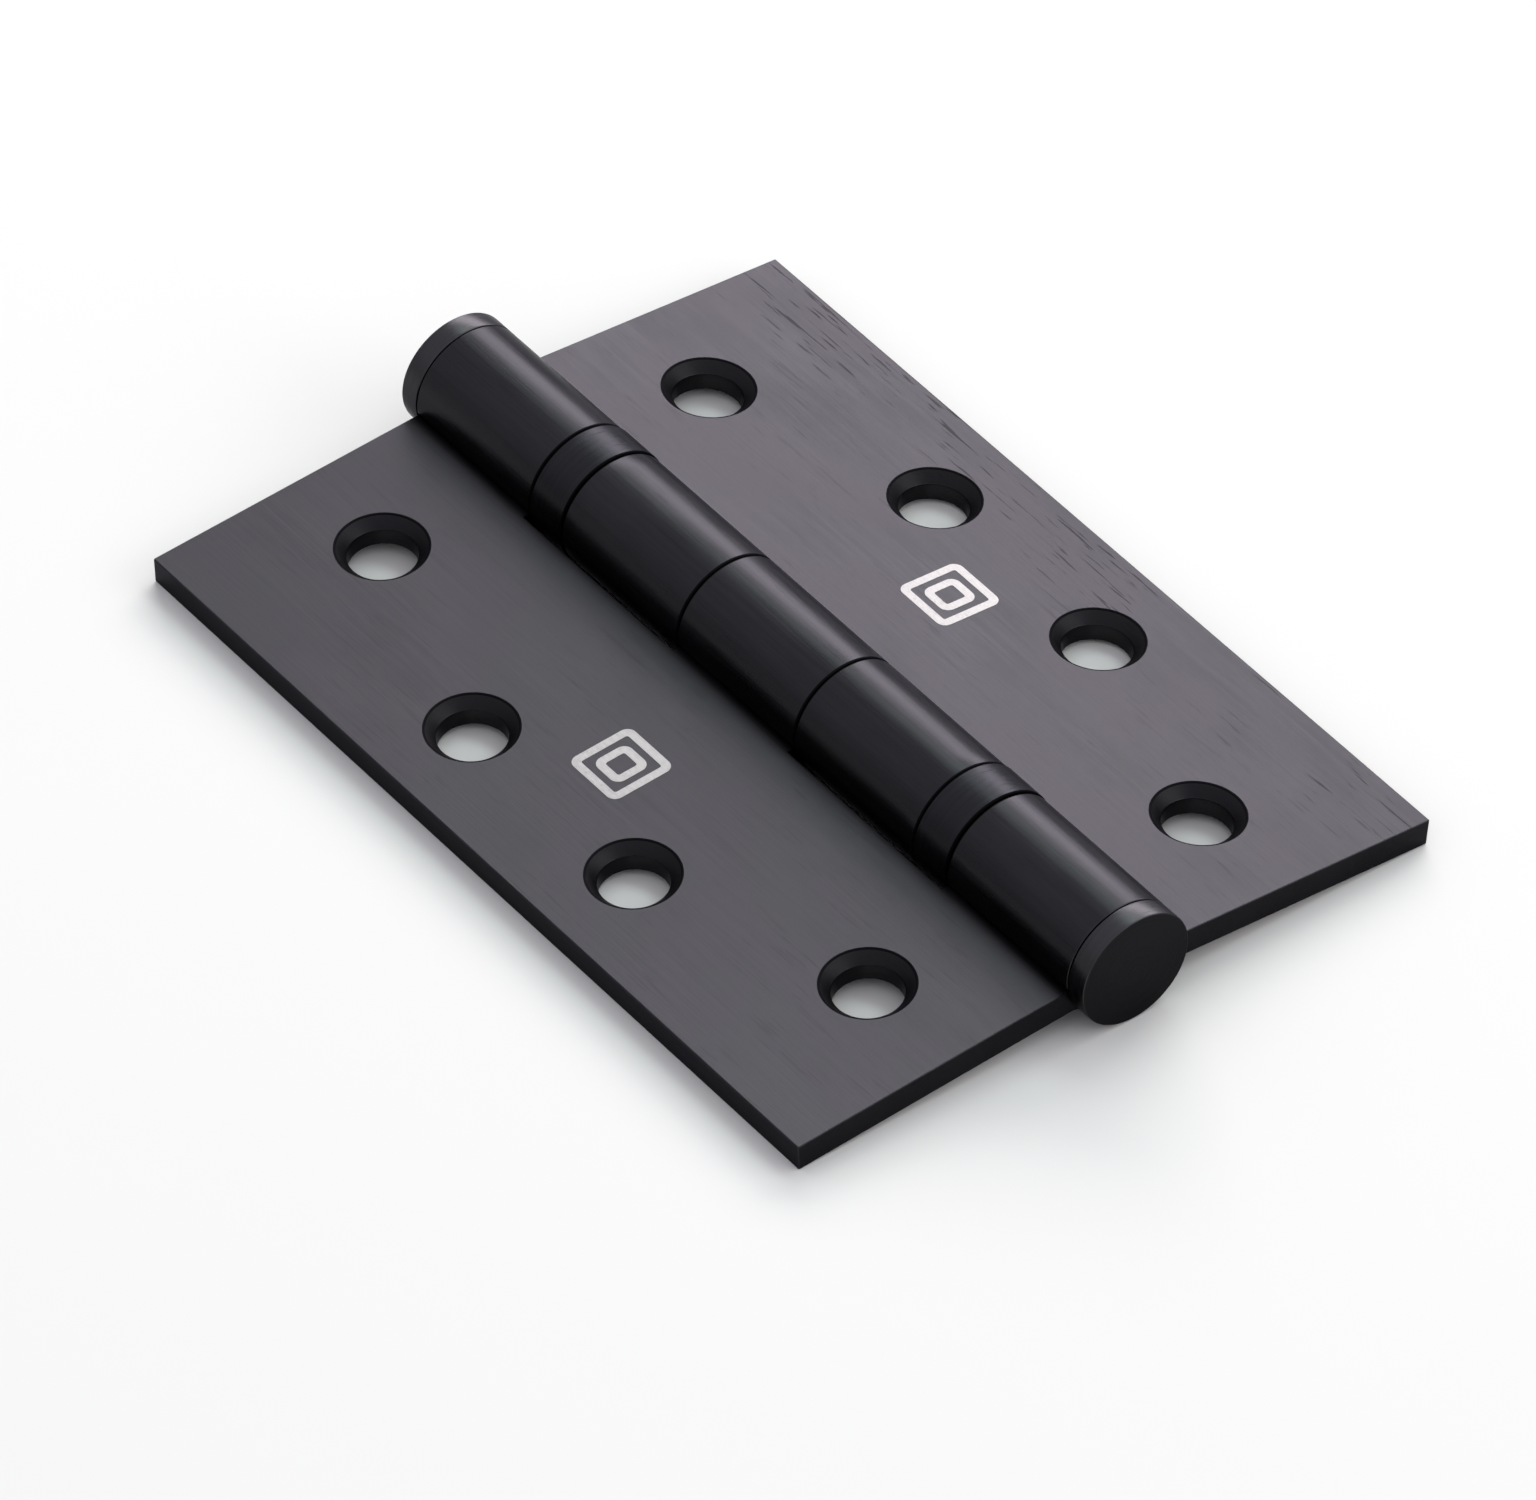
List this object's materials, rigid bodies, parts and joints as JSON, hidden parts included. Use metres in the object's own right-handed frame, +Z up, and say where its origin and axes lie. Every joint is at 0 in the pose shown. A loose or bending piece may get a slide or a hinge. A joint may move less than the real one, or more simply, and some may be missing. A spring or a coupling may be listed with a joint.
{
  "type": "butt hinge",
  "caption": "Black steel door butt hinge with a bearing barrel, flat end caps and two square-cornered leaves with staggered countersunk screw holes.",
  "frame": {"origin": "on the surface that the open hinge lies on, under the middle of the pin", "axes": "+Y along the pin to the upper bearing's end, +X towards the leaf with two knuckles, +Z up, away from the surface, on the screw heads' side"},
  "size_m": [0.076, 0.1064, 0.0128],
  "materials": {
    "black_leaf": "satin black coating over steel brushed along the pin",
    "black_cap": "satin black coating, turned",
    "black_shell": "satin black coating, turned",
    "pin_steel": "ground bare steel, lightly greased",
    "race_steel": "hardened and ground",
    "ball_steel": "polished",
    "cage_brass": "stamped"
  },
  "bodies": {
    "left_leaf": {"leaf_left": "black_leaf", "hinge_pin": "pin_steel", "top_cap": "black_cap", "bottom_cap": "black_cap", "upper_bearing_cover_race": "race_steel", "lower_bearing_cover_race": "race_steel"},
    "right_leaf": {"leaf_right": "black_leaf", "upper_bearing_shell": "black_shell", "upper_bearing_seat_race": "race_steel", "lower_bearing_shell": "black_shell", "lower_bearing_seat_race": "race_steel"},
    "upper_ball_set": {"upper_bearing_cage": "cage_brass", "upper_bearing_ball_01": "ball_steel", "upper_bearing_ball_02": "ball_steel", "upper_bearing_ball_03": "ball_steel", "upper_bearing_ball_04": "ball_steel", "upper_bearing_ball_05": "ball_steel", "upper_bearing_ball_06": "ball_steel", "upper_bearing_ball_07": "ball_steel", "upper_bearing_ball_08": "ball_steel", "upper_bearing_ball_09": "ball_steel", "upper_bearing_ball_10": "ball_steel"},
    "lower_ball_set": {"lower_bearing_cage": "cage_brass", "lower_bearing_ball_01": "ball_steel", "lower_bearing_ball_02": "ball_steel", "lower_bearing_ball_03": "ball_steel", "lower_bearing_ball_04": "ball_steel", "lower_bearing_ball_05": "ball_steel", "lower_bearing_ball_06": "ball_steel", "lower_bearing_ball_07": "ball_steel", "lower_bearing_ball_08": "ball_steel", "lower_bearing_ball_09": "ball_steel", "lower_bearing_ball_10": "ball_steel"}
  },
  "joints": [
    {"name": "leaf_swing", "type": "hinge", "parent": "left_leaf", "child": "right_leaf", "pos_m": [0, 0, 0.0064], "axis": [0, 1, 0], "range_deg": [-187.7, 102.3]},
    {"name": "upper_ball_orbit", "type": "hinge", "parent": "left_leaf", "child": "upper_ball_set", "pos_m": [0, 0, 0.0064], "axis": [0, 1, 0], "range_deg": [-94, 51.5]},
    {"name": "lower_ball_orbit", "type": "hinge", "parent": "left_leaf", "child": "lower_ball_set", "pos_m": [0, 0, 0.0064], "axis": [0, 1, 0], "range_deg": [-94, 51.5]}
  ],
  "couplings": [
    {"joint": "upper_ball_orbit", "follows": "leaf_swing", "ratio": 0.5},
    {"joint": "lower_ball_orbit", "follows": "leaf_swing", "ratio": 0.5}
  ]
}
